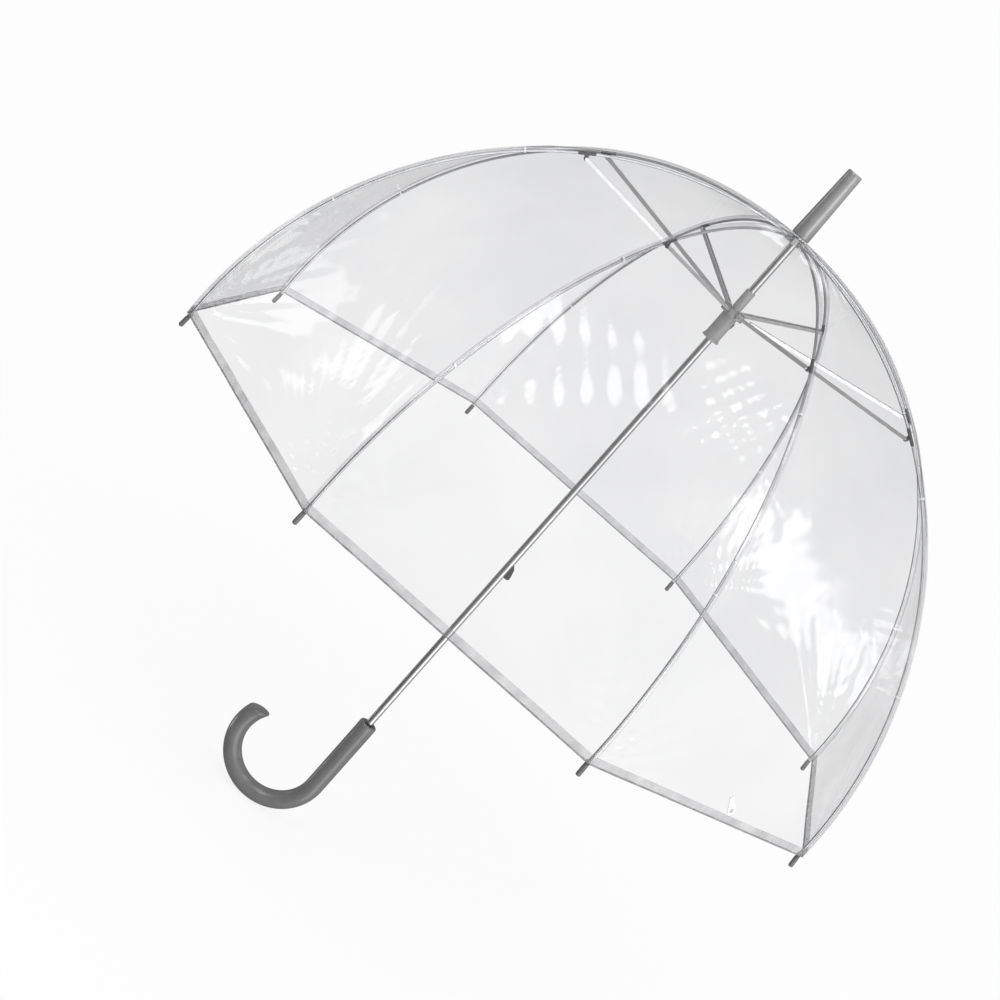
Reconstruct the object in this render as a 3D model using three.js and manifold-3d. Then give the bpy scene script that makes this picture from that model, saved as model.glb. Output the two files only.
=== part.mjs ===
// Clear bubble umbrella: an eight-rib dome of clear film on a manual steel frame with a crook handle.
// Millimetres, +Z up along the shaft. The origin is on the shaft's axis, level with the crook's lowest point.
// Ribs are numbered anticlockwise seen from above; the crook curls towards -X and both catches face +X.

import * as THREE from "three";
import { mergeVertices } from "three/addons/utils/BufferGeometryUtils.js";
import Module from "manifold-3d";

const wasm = await Module();
wasm.setup();

// ---- Driving dimensions ----

const GAP = 0.3; // between fixed neighbours
const RUNNING_GAP = 0.35; // between pieces that slide or turn on each other

// Canopy
const RIB_COUNT = 8;
const FIRST_RIB_DEG = -157.5;
const DOME_RADIUS = 380; // a rib's quarter circle, so the arc over the dome is 1194
const FILM_THICKNESS = 0.8;
const FILM_EDGE_RADIUS = 6; // the hole around the shaft
const FILM_STEPS = 14; // bands from the top to the hem
const HEM_HEIGHT = 7;
const HEM_THICKNESS = 1.4;
const SEAM_GAP = 0.3;

// Ribs and stretchers
const WIRE_RADIUS = 1.2;
const RIB_TO_FILM = 1.7; // from the wire to the film's inside
const CLIP_DEG = 31.8; // where the stretcher joins, from the top
const CLIP_HALF_LENGTH = 8;
const CLIP_WALL = 0.2;
const CLIP_DROP = 4.5; // from the wire to the joint's pin
const LUG_THICKNESS = 1.6;
const LUG_RADIUS = 2.2;
const LOWER_FLEX_DEG = 61; // where the wire's second bend is gathered
const FLEX_GAP = 0.9;
const EYE_THICKNESS = 1.6;
const EYE_RADIUS = 2.1;
const EYE_OVERLAP = 0.4; // how far the wire runs into the eye
const JOIN = 0.1; // how far other joined solids run into each other
const RING_WIRE_RADIUS = 0.6;
const PRONG_THICKNESS = 0.9;
const PRONG_HEIGHT = 3;
const RIVET_RADIUS = 1.5;
const RIVET_HEIGHT = 0.5;
const TONGUE_LENGTH = 11;
const OPEN_PRONG_LENGTH = 62.3; // the outer stretch with no web, where the folded rib lies between the prongs

// Rib tips
const CAP_WALL = 0.7;
const CAP_LENGTH = 12.4;
const CAP_START = 1.8; // below the hem
const CAP_BEVEL = 0.6;
const CAP_FLARE_DEG = 6;

// Shaft and the fittings on it
const SHAFT_RADIUS = 3.5;
const SHAFT_WALL = 0.8;
const SHAFT_SIDES = 24;
const SHAFT_TO_NOTCH_PIVOT = 4.5; // from the shaft's outside to the wire that the ribs turn on
const NOTCH_RIM = 0.5; // beyond the eyes of the ribs
const NOTCH_BELOW = 4;
const NOTCH_ABOVE = 2.2;
const WASHER_THICKNESS = 0.8;
const FERRULE_LENGTH = 72;
const FERRULE_BASE_RADIUS = 9;
const FERRULE_TOP_RADIUS = 7.3;
const FERRULE_SOCKET = 30;
const FERRULE_BEVEL = 0.8;
const COLLAR_WALL = 0.9;
const COLLAR_LENGTH = 20;
const COLLAR_TO_RUNNER = 1;

// Runner, heights below the top of the dome
const RUNNER_PIVOT_DROP = 87;
const SHAFT_TO_RUNNER_PIVOT = 6;
const RUNNER_TRAVEL = 301;
const CROWN_ABOVE = 3;
const CROWN_BELOW = 3.5;
const RUNNER_WALL = 3.75;
const RUNNER_BODY_LENGTH = 28;
const RUNNER_FOOT_RIM = 1; // how far the foot's rim stands out, and the height of its slope
const RUNNER_FOOT_HEIGHT = 2;
const LATCH_SLOT_BELOW_CROWN = 2;
const CATCH_CLEARANCE_ACROSS = 0.6; // each side of a catch in the runner's slot
const CATCH_CLEARANCE_ALONG = 1;

// Catches
const CATCH_LENGTH = 15.5;
const CATCH_STAND = 5.1; // how far it stands out of the shaft
const CATCH_THICKNESS = 1.2;
const CATCH_DEPTH = 0.4; // inside the shaft's bore
const CATCH_SLOT_SPARE = 2; // the shaft's slot beyond each end of the catch

// Handle
const HANDLE_TOP_DROP = 604.7; // below the top of the dome
const HANDLE_RADIUS = 9;
const HANDLE_STRAIGHT = 83;
const HOOK_RADIUS = 46;
const HOOK_SWEEP_DEG = 208; // to the middle of the slanted end
const HOOK_SPARE_DEG = 10; // swept beyond the end, then cut off
const HOOK_SLANT_DEG = 32; // the end's slant, longer on the inside of the hook
const HANDLE_SIDES = 16;
const HANDLE_SOCKET = 62;
const COUNTERSINK_WIDTH = 2.9; // outside the shaft
const COUNTERSINK_DEPTH = 1.6;

// Closure tab
const TAB_GORE = 3;
const TAB_LENGTH = 19;
const TAB_WIDTH = 7;
const TAB_NECK_WIDTH = 4;
const TAB_THICKNESS = 0.8;
const TAB_ABOVE_HEM = 3;
const TAB_OFF_MIDDLE = 28; // towards the next rib
const TAB_LEAN_DEG = 45; // back towards the rib before

// ---- Derived places ----

const HUB_Z = HOOK_RADIUS + HANDLE_RADIUS + HANDLE_STRAIGHT + HANDLE_TOP_DROP - DOME_RADIUS;
const APEX_Z = HUB_Z + DOME_RADIUS;
const HANDLE_TOP_Z = APEX_Z - HANDLE_TOP_DROP;
const HOOK_CENTRE_Z = HANDLE_TOP_Z - HANDLE_STRAIGHT;
const RIB_CURVE_RADIUS = DOME_RADIUS - FILM_THICKNESS - RIB_TO_FILM - WIRE_RADIUS;
const CLIP_RADIUS = WIRE_RADIUS + CLIP_WALL;
const PRONG_GAP = 2 * CLIP_RADIUS + GAP;
const CAP_RADIUS = WIRE_RADIUS + GAP + CAP_WALL;
const NOTCH_PIVOT_RADIUS = SHAFT_RADIUS + SHAFT_TO_NOTCH_PIVOT;
const NOTCH_RADIUS = NOTCH_PIVOT_RADIUS + EYE_RADIUS + NOTCH_RIM;
const WASHER_RADIUS = FERRULE_BASE_RADIUS;
const COLLAR_RADIUS = SHAFT_RADIUS + GAP + COLLAR_WALL;
const RUNNER_PIVOT_RADIUS = SHAFT_RADIUS + SHAFT_TO_RUNNER_PIVOT;
const CROWN_RADIUS = RUNNER_PIVOT_RADIUS + EYE_RADIUS;
const RUNNER_RADIUS = SHAFT_RADIUS + RUNNING_GAP + RUNNER_WALL;
const LATCH_SLOT_WIDTH = CATCH_THICKNESS + 2 * CATCH_CLEARANCE_ACROSS;
const LATCH_SLOT_LENGTH = CATCH_LENGTH + 2 * CATCH_CLEARANCE_ALONG;
const CATCH_REACH = SHAFT_RADIUS + CATCH_STAND;
const CATCH_ROOT = SHAFT_RADIUS - SHAFT_WALL - CATCH_DEPTH;
const COUNTERSINK_RADIUS = SHAFT_RADIUS + COUNTERSINK_WIDTH;
const NOTCH_PIVOT_Z = HUB_Z + Math.sqrt(RIB_CURVE_RADIUS ** 2 - NOTCH_PIVOT_RADIUS ** 2);
const RUNNER_PIVOT_Z = APEX_Z - RUNNER_PIVOT_DROP;
const LATCH_SLOT_TOP_Z = RUNNER_PIVOT_Z - CROWN_BELOW - LATCH_SLOT_BELOW_CROWN;
const LATCH_SLOT_BOTTOM_Z = LATCH_SLOT_TOP_Z - LATCH_SLOT_LENGTH;
const SHAFT_BORE_RADIUS = SHAFT_RADIUS - SHAFT_WALL;
const SHAFT_HOLE_RADIUS = SHAFT_RADIUS + RUNNING_GAP;
const CLIP_HALF_DEG = THREE.MathUtils.radToDeg(CLIP_HALF_LENGTH / RIB_CURVE_RADIUS);
const FLEX_GAP_DEG = THREE.MathUtils.radToDeg(FLEX_GAP / RIB_CURVE_RADIUS);
const UPPER_END_DEG = CLIP_DEG + CLIP_HALF_DEG;
const PIVOT_START_DEG = THREE.MathUtils.radToDeg(Math.asin(NOTCH_PIVOT_RADIUS / RIB_CURVE_RADIUS));
const EYE_START_DEG = THREE.MathUtils.radToDeg((EYE_RADIUS - EYE_OVERLAP) / RIB_CURVE_RADIUS);
const RING_HOLE_RADIUS = RING_WIRE_RADIUS + RUNNING_GAP;
const EYE_SLOT_WIDTH = EYE_THICKNESS + 2 * RUNNING_GAP;
const RIB_SLOT_WIDTH = 2 * WIRE_RADIUS + 2 * RUNNING_GAP;

// ---- Materials ----

const steel = { color: 0xb9bcc0, roughness: 0.25, metalness: 1 };
const greyWire = { color: 0x8d9094, roughness: 0.35, metalness: 1 };
const darkWire = { color: 0x3c3d40, roughness: 0.4, metalness: 1 };
const greyPlastic = { color: 0x7c7d80, roughness: 0.35, metalness: 0 };
const palePlastic = { color: 0xb8babd, roughness: 0.45, metalness: 0 };
const darkPlastic = { color: 0x4a4b4e, roughness: 0.5, metalness: 0 };
const clearFilm = { color: 0xe9eaef, roughness: 0.15, metalness: 0, transparent: true, opacity: 0.35 };
const whitePlastic = { color: 0xf4f4f4, roughness: 0.5, metalness: 0 };

// ---- Solids ----

function toManifold(geometry) {
  const bare = geometry.clone();
  bare.deleteAttribute("normal");
  bare.deleteAttribute("uv");
  const merged = mergeVertices(bare, 1e-4);
  const mesh = new wasm.Mesh({
    numProp: 3,
    vertProperties: new Float32Array(merged.attributes.position.array),
    triVerts: new Uint32Array(merged.index.array),
  });
  return new wasm.Manifold(mesh);
}

function toGeometry(solid) {
  const mesh = solid.getMesh();
  const geometry = new THREE.BufferGeometry();
  geometry.setAttribute("position", new THREE.BufferAttribute(mesh.vertProperties, 3));
  geometry.setIndex(new THREE.BufferAttribute(mesh.triVerts, 1));
  geometry.computeVertexNormals();
  return geometry;
}

// A turned solid about Z from [radius, height] pairs listed upwards; the ends close on the axis.
function turned(profile, sides) {
  const points = profile.map(([radius, height]) => new THREE.Vector2(radius, height));
  return toManifold(new THREE.LatheGeometry(points, sides).rotateX(Math.PI / 2));
}

function cylinder(radius, bottom, top, sides = SHAFT_SIDES) {
  return turned([[0, bottom], [radius, bottom], [radius, top], [0, top]], sides);
}

function ringWire(radius, height) {
  const points = [];
  const sides = 8;
  for (let i = 0; i <= sides; i += 1) {
    const angle = (i / sides) * 2 * Math.PI;
    const out = radius + RING_WIRE_RADIUS * Math.cos(angle);
    points.push(new THREE.Vector2(out, height + RING_WIRE_RADIUS * Math.sin(angle)));
  }
  points[sides].copy(points[0]);
  return new THREE.LatheGeometry(points, 24).rotateX(Math.PI / 2);
}

function box(sizeX, sizeY, sizeZ, x, y, z) {
  const geometry = new THREE.BoxGeometry(sizeX, sizeY, sizeZ);
  geometry.translate(x, y, z);
  return toManifold(geometry);
}

// A plate in the XZ plane, centred on y = 0, from a THREE.Shape drawn in x and z.
function plateXZ(shape, thickness, curveSegments = 8) {
  const geometry = new THREE.ExtrudeGeometry(shape, { depth: thickness, bevelEnabled: false, curveSegments });
  geometry.translate(0, 0, -thickness / 2);
  geometry.rotateX(Math.PI / 2);
  return toManifold(geometry);
}

function discXZ(radius, thickness, x, z, sides = 12) {
  const geometry = new THREE.CylinderGeometry(radius, radius, thickness, sides);
  geometry.translate(x, 0, z);
  return toManifold(geometry);
}

function circleShape(radius, sides) {
  const shape = new THREE.Shape();
  for (let i = 0; i < sides; i += 1) {
    const angle = (i / sides) * 2 * Math.PI;
    const x = radius * Math.cos(angle);
    const y = radius * Math.sin(angle);
    if (i === 0) shape.moveTo(x, y);
    else shape.lineTo(x, y);
  }
  shape.closePath();
  return shape;
}

// A point on a rib's curve, in the rib's own XZ plane, at an angle from the top.
function onRib(degrees, radius = RIB_CURVE_RADIUS) {
  const angle = THREE.MathUtils.degToRad(degrees);
  return new THREE.Vector3(radius * Math.sin(angle), 0, HUB_Z + radius * Math.cos(angle));
}

class RibArc extends THREE.Curve {
  constructor(startDegrees, endDegrees) {
    super();
    this.startDegrees = startDegrees;
    this.endDegrees = endDegrees;
  }

  getPoint(t, target = new THREE.Vector3()) {
    return target.copy(onRib(THREE.MathUtils.lerp(this.startDegrees, this.endDegrees, t)));
  }
}

function wireAlong(curve, radius, steps, sides = 8) {
  return toManifold(new THREE.ExtrudeGeometry(circleShape(radius, sides), { extrudePath: curve, steps }));
}

// ---- Pieces in a rib's own plane ----

function ribUpper() {
  const pivot = new THREE.Vector3(NOTCH_PIVOT_RADIUS, 0, NOTCH_PIVOT_Z);
  const wire = wireAlong(new RibArc(PIVOT_START_DEG + EYE_START_DEG, UPPER_END_DEG), WIRE_RADIUS, 11);
  const sleeve = wireAlong(new RibArc(CLIP_DEG - CLIP_HALF_DEG, UPPER_END_DEG), CLIP_RADIUS, 2);
  const pin = onRib(CLIP_DEG, RIB_CURVE_RADIUS - CLIP_DROP);
  const wireAtClip = onRib(CLIP_DEG);
  const lugWeb = box(2 * LUG_RADIUS, LUG_THICKNESS, CLIP_DROP, 0, 0, 0)
    .rotate([0, CLIP_DEG, 0])
    .translate([(pin.x + wireAtClip.x) / 2, 0, (pin.z + wireAtClip.z) / 2]);
  return discXZ(EYE_RADIUS, EYE_THICKNESS, pivot.x, pivot.z)
    .add(wire)
    .add(sleeve)
    .add(lugWeb)
    .add(discXZ(LUG_RADIUS, LUG_THICKNESS, pin.x, pin.z))
    .subtract(discXZ(RING_HOLE_RADIUS, 2 * EYE_THICKNESS, pivot.x, pivot.z, 10));
}

function ribMiddle() {
  return wireAlong(new RibArc(UPPER_END_DEG + FLEX_GAP_DEG, LOWER_FLEX_DEG - FLEX_GAP_DEG / 2), WIRE_RADIUS, 9);
}

function ribLower() {
  const arc = wireAlong(new RibArc(LOWER_FLEX_DEG + FLEX_GAP_DEG / 2, 90), WIRE_RADIUS, 9);
  const tail = cylinder(WIRE_RADIUS, -CAP_START - CAP_LENGTH / 2, 0.5, 8)
    .rotate([0, -CAP_FLARE_DEG, 0])
    .translate([RIB_CURVE_RADIUS, 0, HUB_Z]);
  return arc.add(tail);
}

function tipCap() {
  const bore = WIRE_RADIUS + GAP;
  const outside = turned(
    [
      [0, -CAP_START - CAP_LENGTH],
      [CAP_RADIUS - CAP_BEVEL, -CAP_START - CAP_LENGTH],
      [CAP_RADIUS, -CAP_START - CAP_LENGTH + CAP_BEVEL],
      [CAP_RADIUS, -CAP_START],
      [0, -CAP_START],
    ],
    14,
  );
  return outside
    .subtract(cylinder(bore, -CAP_START - CAP_LENGTH / 2 - GAP, 1, 8))
    .rotate([0, -CAP_FLARE_DEG, 0])
    .translate([RIB_CURVE_RADIUS, 0, HUB_Z]);
}

// Two prongs that straddle the rib, joined by a web under their inner half and a tongue at the runner.
function stretcher() {
  const inner = new THREE.Vector3(RUNNER_PIVOT_RADIUS, 0, RUNNER_PIVOT_Z);
  const outer = onRib(CLIP_DEG, RIB_CURVE_RADIUS - CLIP_DROP);
  const length = inner.distanceTo(outer);
  const rise = THREE.MathUtils.radToDeg(Math.atan2(outer.z - inner.z, outer.x - inner.x));
  const half = PRONG_HEIGHT / 2;
  const side = (PRONG_GAP + PRONG_THICKNESS) / 2;
  const prongShape = new THREE.Shape();
  prongShape.moveTo(TONGUE_LENGTH - half, -half);
  prongShape.lineTo(length, -half);
  prongShape.absarc(length, 0, half, -Math.PI / 2, Math.PI / 2, false);
  prongShape.lineTo(TONGUE_LENGTH - half, half);
  prongShape.closePath();
  const prong = plateXZ(prongShape, PRONG_THICKNESS, 6);
  const rivet = discXZ(RIVET_RADIUS, RIVET_HEIGHT, length, 0, 12);
  const rivetSide = side + (PRONG_THICKNESS + RIVET_HEIGHT) / 2 - JOIN / 2;
  const bridge = PRONG_GAP + 2 * JOIN;
  const webStart = TONGUE_LENGTH - half;
  const webLength = length - OPEN_PRONG_LENGTH - webStart;
  const webHeight = -half + PRONG_THICKNESS / 2;
  const web = box(webLength, bridge, PRONG_THICKNESS, webStart + webLength / 2, 0, webHeight);
  const knuckle = box(PRONG_HEIGHT, bridge, PRONG_HEIGHT, TONGUE_LENGTH, 0, 0);
  const tongue = box(TONGUE_LENGTH, EYE_THICKNESS, PRONG_HEIGHT, TONGUE_LENGTH / 2, 0, 0);
  return discXZ(EYE_RADIUS, EYE_THICKNESS, 0, 0)
    .add(tongue)
    .add(knuckle)
    .add(web)
    .add(prong.translate([0, side, 0]))
    .add(prong.translate([0, -side, 0]))
    .add(rivet.translate([0, rivetSide, 0]))
    .add(rivet.translate([0, -rivetSide, 0]))
    .subtract(discXZ(RING_HOLE_RADIUS, 2 * EYE_THICKNESS, 0, 0, 10))
    .rotate([0, -rise, 0])
    .translate([inner.x, 0, inner.z]);
}

// ---- Pieces on the shaft ----

function shaft() {
  const bottom = HANDLE_TOP_Z - HANDLE_SOCKET + GAP;
  const top = APEX_Z + FERRULE_SOCKET - GAP;
  const slotWidth = CATCH_THICKNESS + 2 * GAP;
  const slotLength = CATCH_LENGTH + 2 * CATCH_SLOT_SPARE;
  const slot = (centre) => box(2 * SHAFT_RADIUS, slotWidth, slotLength, SHAFT_RADIUS, 0, centre);
  return cylinder(SHAFT_RADIUS, bottom, top)
    .subtract(cylinder(SHAFT_BORE_RADIUS, bottom - 1, top + 1))
    .subtract(slot(catchMiddle(0)))
    .subtract(slot(catchMiddle(RUNNER_TRAVEL)));
}

function ferrule() {
  const base = APEX_Z + GAP + WASHER_THICKNESS + GAP;
  const top = base + FERRULE_LENGTH;
  const outside = turned(
    [
      [0, base],
      [FERRULE_BASE_RADIUS - FERRULE_BEVEL, base],
      [FERRULE_BASE_RADIUS, base + FERRULE_BEVEL],
      [FERRULE_TOP_RADIUS, top - FERRULE_BEVEL],
      [FERRULE_TOP_RADIUS - FERRULE_BEVEL, top],
      [0, top],
    ],
    28,
  );
  return outside.subtract(cylinder(SHAFT_RADIUS + GAP, base - 1, APEX_Z + FERRULE_SOCKET));
}

function apexWasher() {
  const bottom = APEX_Z + GAP;
  return cylinder(WASHER_RADIUS, bottom, bottom + WASHER_THICKNESS)
    .subtract(cylinder(SHAFT_RADIUS + GAP, bottom - 1, bottom + WASHER_THICKNESS + 1));
}

// A disc with a radial slot for each rib or stretcher and a groove for the wire they turn on.
function slottedDisc({ radius, bottom, top, hole, pivotRadius, pivotZ, slotWidth, slotBottom }) {
  let disc = cylinder(radius, bottom, top, 32).subtract(cylinder(hole, bottom - 1, top + 1));
  const slotInner = pivotRadius - EYE_RADIUS - GAP;
  const slotLength = radius - slotInner + 1;
  const slotHeight = top - slotBottom + 1;
  for (let i = 0; i < RIB_COUNT; i += 1) {
    const slot = box(slotLength, slotWidth, slotHeight, slotInner + slotLength / 2, 0, slotBottom + slotHeight / 2);
    disc = disc.subtract(slot.rotate([0, 0, ribDegrees(i)]));
  }
  const groove = cylinder(pivotRadius + RING_HOLE_RADIUS, pivotZ - RING_HOLE_RADIUS, top + 1, 32)
    .subtract(cylinder(pivotRadius - RING_HOLE_RADIUS, pivotZ - RING_HOLE_RADIUS - 1, top + 2, 32));
  return disc.subtract(groove);
}

function topNotch() {
  return slottedDisc({
    radius: NOTCH_RADIUS,
    bottom: NOTCH_PIVOT_Z - NOTCH_BELOW,
    top: NOTCH_PIVOT_Z + NOTCH_ABOVE,
    hole: SHAFT_RADIUS + GAP,
    pivotRadius: NOTCH_PIVOT_RADIUS,
    pivotZ: NOTCH_PIVOT_Z,
    slotWidth: RIB_SLOT_WIDTH,
    slotBottom: NOTCH_PIVOT_Z - NOTCH_BELOW - 1,
  });
}

function runner() {
  const crownBottom = RUNNER_PIVOT_Z - CROWN_BELOW;
  const crown = slottedDisc({
    radius: CROWN_RADIUS,
    bottom: crownBottom,
    top: RUNNER_PIVOT_Z + CROWN_ABOVE,
    hole: SHAFT_HOLE_RADIUS,
    pivotRadius: RUNNER_PIVOT_RADIUS,
    pivotZ: RUNNER_PIVOT_Z,
    slotWidth: EYE_SLOT_WIDTH,
    slotBottom: RUNNER_PIVOT_Z - EYE_RADIUS - GAP,
  });
  const bodyBottom = crownBottom - RUNNER_BODY_LENGTH;
  const footRadius = RUNNER_RADIUS + RUNNER_FOOT_RIM;
  const body = turned(
    [
      [0, bodyBottom],
      [footRadius, bodyBottom],
      [footRadius, bodyBottom + RUNNER_FOOT_HEIGHT],
      [RUNNER_RADIUS, bodyBottom + RUNNER_FOOT_HEIGHT + RUNNER_FOOT_RIM],
      [RUNNER_RADIUS, crownBottom + JOIN],
      [0, crownBottom + JOIN],
    ],
    SHAFT_SIDES,
  );
  const slotMiddle = (LATCH_SLOT_TOP_Z + LATCH_SLOT_BOTTOM_Z) / 2;
  const latchSlot = box(2 * RUNNER_RADIUS, LATCH_SLOT_WIDTH, LATCH_SLOT_LENGTH, footRadius, 0, slotMiddle);
  return body
    .subtract(cylinder(SHAFT_HOLE_RADIUS, bodyBottom - 1, crownBottom + 1))
    .add(crown)
    .subtract(latchSlot);
}

function stopCollar() {
  const bottom = RUNNER_PIVOT_Z + CROWN_ABOVE + COLLAR_TO_RUNNER;
  return cylinder(COLLAR_RADIUS, bottom, bottom + COLLAR_LENGTH)
    .subtract(cylinder(SHAFT_RADIUS + GAP, bottom - 1, bottom + COLLAR_LENGTH + 1));
}

// The height of a catch's middle: it stands in the runner's latch slot when the runner is that far down.
function catchMiddle(travel) {
  return (LATCH_SLOT_TOP_Z + LATCH_SLOT_BOTTOM_Z) / 2 - travel;
}

// A sprung wire leaf that stands out of the shaft: a blunt end that holds the runner and a ramp it slides over.
function catchLeaf(middle, rampUp) {
  const half = CATCH_LENGTH / 2;
  const flip = rampUp ? 1 : -1;
  const shape = new THREE.Shape();
  const points = [
    [CATCH_ROOT, -half],
    [CATCH_REACH - 1.5, -half],
    [CATCH_REACH, -half + 1.5],
    [CATCH_REACH - 0.3, -half + 5],
    [CATCH_REACH - 2, half - 4],
    [SHAFT_RADIUS, half],
    [CATCH_ROOT, half],
  ];
  points.forEach(([x, z], index) => {
    if (index === 0) shape.moveTo(x, middle + flip * z);
    else shape.lineTo(x, middle + flip * z);
  });
  shape.closePath();
  return plateXZ(shape, CATCH_THICKNESS);
}

// ---- Handle ----

class HandleLine extends THREE.Curve {
  getPoint(t, target = new THREE.Vector3()) {
    const hookLength = THREE.MathUtils.degToRad(HOOK_SWEEP_DEG + HOOK_SPARE_DEG) * HOOK_RADIUS;
    const along = t * (HANDLE_STRAIGHT + hookLength);
    if (along < HANDLE_STRAIGHT) return target.set(0, 0, HANDLE_TOP_Z - along);
    const angle = (along - HANDLE_STRAIGHT) / HOOK_RADIUS;
    return target.set(HOOK_RADIUS * (Math.cos(angle) - 1), 0, HOOK_CENTRE_Z - HOOK_RADIUS * Math.sin(angle));
  }
}

// A block that takes off the hook's spare end at the slant.
function hookEndCut() {
  const size = 4 * HANDLE_RADIUS;
  const sweep = THREE.MathUtils.degToRad(HOOK_SWEEP_DEG);
  return box(size, size, size, 0, 0, -size / 2)
    .rotate([0, HOOK_SWEEP_DEG - HOOK_SLANT_DEG, 0])
    .translate([HOOK_RADIUS * (Math.cos(sweep) - 1), 0, HOOK_CENTRE_Z - HOOK_RADIUS * Math.sin(sweep)]);
}

function handle() {
  const grip = wireAlong(new HandleLine(), HANDLE_RADIUS, 28, HANDLE_SIDES).subtract(hookEndCut());
  const socket = cylinder(SHAFT_RADIUS + GAP, HANDLE_TOP_Z - HANDLE_SOCKET, HANDLE_TOP_Z + 1);
  const countersink = cylinder(COUNTERSINK_RADIUS, HANDLE_TOP_Z - COUNTERSINK_DEPTH, HANDLE_TOP_Z + 1);
  return grip.subtract(socket).subtract(countersink);
}

// ---- Film ----

function ribDegrees(index) {
  return FIRST_RIB_DEG + (360 / RIB_COUNT) * index;
}

// One flat-sided gore between two ribs: at each height the film is straight from rib to rib.
function filmGore() {
  const halfWedge = Math.PI / RIB_COUNT;
  const startAngle = Math.asin(FILM_EDGE_RADIUS / DOME_RADIUS);
  const hemAngle = Math.PI / 2 - HEM_HEIGHT / DOME_RADIUS;
  const stations = [];
  for (let i = 0; i <= FILM_STEPS; i += 1) {
    stations.push([startAngle + (hemAngle - startAngle) * (i / FILM_STEPS), FILM_THICKNESS]);
  }
  stations.push([hemAngle + 0.001, HEM_THICKNESS]);
  stations.push([Math.PI / 2, HEM_THICKNESS]);
  const positions = [];
  for (const [angle, thickness] of stations) {
    for (const radius of [DOME_RADIUS, DOME_RADIUS - thickness]) {
      const ridge = radius * Math.sin(angle);
      const middle = ridge * Math.cos(halfWedge);
      const side = ridge * Math.sin(halfWedge) - SEAM_GAP / 2 / Math.cos(halfWedge);
      const z = HUB_Z + radius * Math.cos(angle);
      positions.push(middle, -side, z, middle, side, z);
    }
  }
  const index = [];
  const quad = (a, b, c, d) => index.push(a, b, c, a, c, d);
  const last = 4 * (stations.length - 1);
  quad(0, 1, 3, 2);
  quad(last, last + 2, last + 3, last + 1);
  for (let base = 0; base < last; base += 4) {
    const next = base + 4;
    quad(base, next, next + 1, base + 1);
    quad(base + 2, base + 3, next + 3, next + 2);
    quad(base, base + 2, next + 2, next);
    quad(base + 1, next + 1, next + 3, base + 3);
  }
  const geometry = new THREE.BufferGeometry();
  geometry.setAttribute("position", new THREE.BufferAttribute(new Float32Array(positions), 3));
  geometry.setIndex(index);
  return geometry;
}

function closureTab() {
  const shape = new THREE.Shape();
  const wide = TAB_WIDTH / 2;
  const narrow = TAB_NECK_WIDTH / 2;
  shape.moveTo(-wide, 0);
  shape.lineTo(wide, 0);
  shape.lineTo(wide, TAB_LENGTH * 0.35);
  shape.lineTo(narrow, TAB_LENGTH * 0.55);
  shape.lineTo(narrow, TAB_LENGTH);
  shape.lineTo(-narrow, TAB_LENGTH);
  shape.lineTo(-narrow, TAB_LENGTH * 0.55);
  shape.lineTo(-wide, TAB_LENGTH * 0.35);
  shape.closePath();
  const foot = HEM_HEIGHT + TAB_ABOVE_HEM;
  const lean = (foot + TAB_LENGTH / 2) / DOME_RADIUS;
  const panel = Math.cos(Math.PI / RIB_COUNT);
  const geometry = new THREE.ExtrudeGeometry(shape, { depth: TAB_THICKNESS, bevelEnabled: false });
  geometry.rotateZ(THREE.MathUtils.degToRad(TAB_LEAN_DEG));
  geometry.rotateX(Math.PI / 2);
  geometry.rotateZ(Math.PI / 2);
  geometry.rotateY(-Math.atan(Math.tan(lean) * panel));
  geometry.translate(DOME_RADIUS * Math.cos(foot / DOME_RADIUS) * panel + GAP, TAB_OFF_MIDDLE, HUB_Z + foot);
  return geometry;
}

// ---- Assembly ----

const group = new THREE.Group();

function place(name, geometry, look, parent = group) {
  const mesh = new THREE.Mesh(geometry, new THREE.MeshStandardMaterial(look));
  mesh.name = name;
  parent.add(mesh);
}

const upperGeometry = toGeometry(ribUpper());
const middleGeometry = toGeometry(ribMiddle());
const lowerGeometry = toGeometry(ribLower());
const capGeometry = toGeometry(tipCap());
const stretcherGeometry = toGeometry(stretcher());
const goreGeometry = filmGore();

for (let i = 0; i < RIB_COUNT; i += 1) {
  const number = i + 1;
  const ribPlane = new THREE.Group();
  ribPlane.rotation.z = THREE.MathUtils.degToRad(ribDegrees(i));
  place(`rib_${number}_upper`, upperGeometry, greyWire, ribPlane);
  place(`rib_${number}_middle`, middleGeometry, greyWire, ribPlane);
  place(`rib_${number}_lower`, lowerGeometry, greyWire, ribPlane);
  place(`tip_cap_${number}`, capGeometry, darkPlastic, ribPlane);
  place(`stretcher_${number}`, stretcherGeometry, greyWire, ribPlane);
  group.add(ribPlane);

  const gorePlane = new THREE.Group();
  gorePlane.rotation.z = THREE.MathUtils.degToRad(ribDegrees(i + 0.5));
  place(`film_gore_${number}`, goreGeometry, clearFilm, gorePlane);
  if (number === TAB_GORE) place("closure_tab", closureTab(), whitePlastic, gorePlane);
  group.add(gorePlane);
}

place("shaft", toGeometry(shaft()), steel);
place("ferrule", toGeometry(ferrule()), greyPlastic);
place("apex_washer", toGeometry(apexWasher()), greyPlastic);
place("top_notch", toGeometry(topNotch()), palePlastic);
place("notch_wire", ringWire(NOTCH_PIVOT_RADIUS, NOTCH_PIVOT_Z), steel);
place("stop_collar", toGeometry(stopCollar()), palePlastic);
place("runner", toGeometry(runner()), greyPlastic);
place("runner_wire", ringWire(RUNNER_PIVOT_RADIUS, RUNNER_PIVOT_Z), steel);
place("top_catch", toGeometry(catchLeaf(catchMiddle(0), false)), darkWire);
place("bottom_catch", toGeometry(catchLeaf(catchMiddle(RUNNER_TRAVEL), true)), darkWire);
place("handle", toGeometry(handle()), greyPlastic);

export default group;
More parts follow.
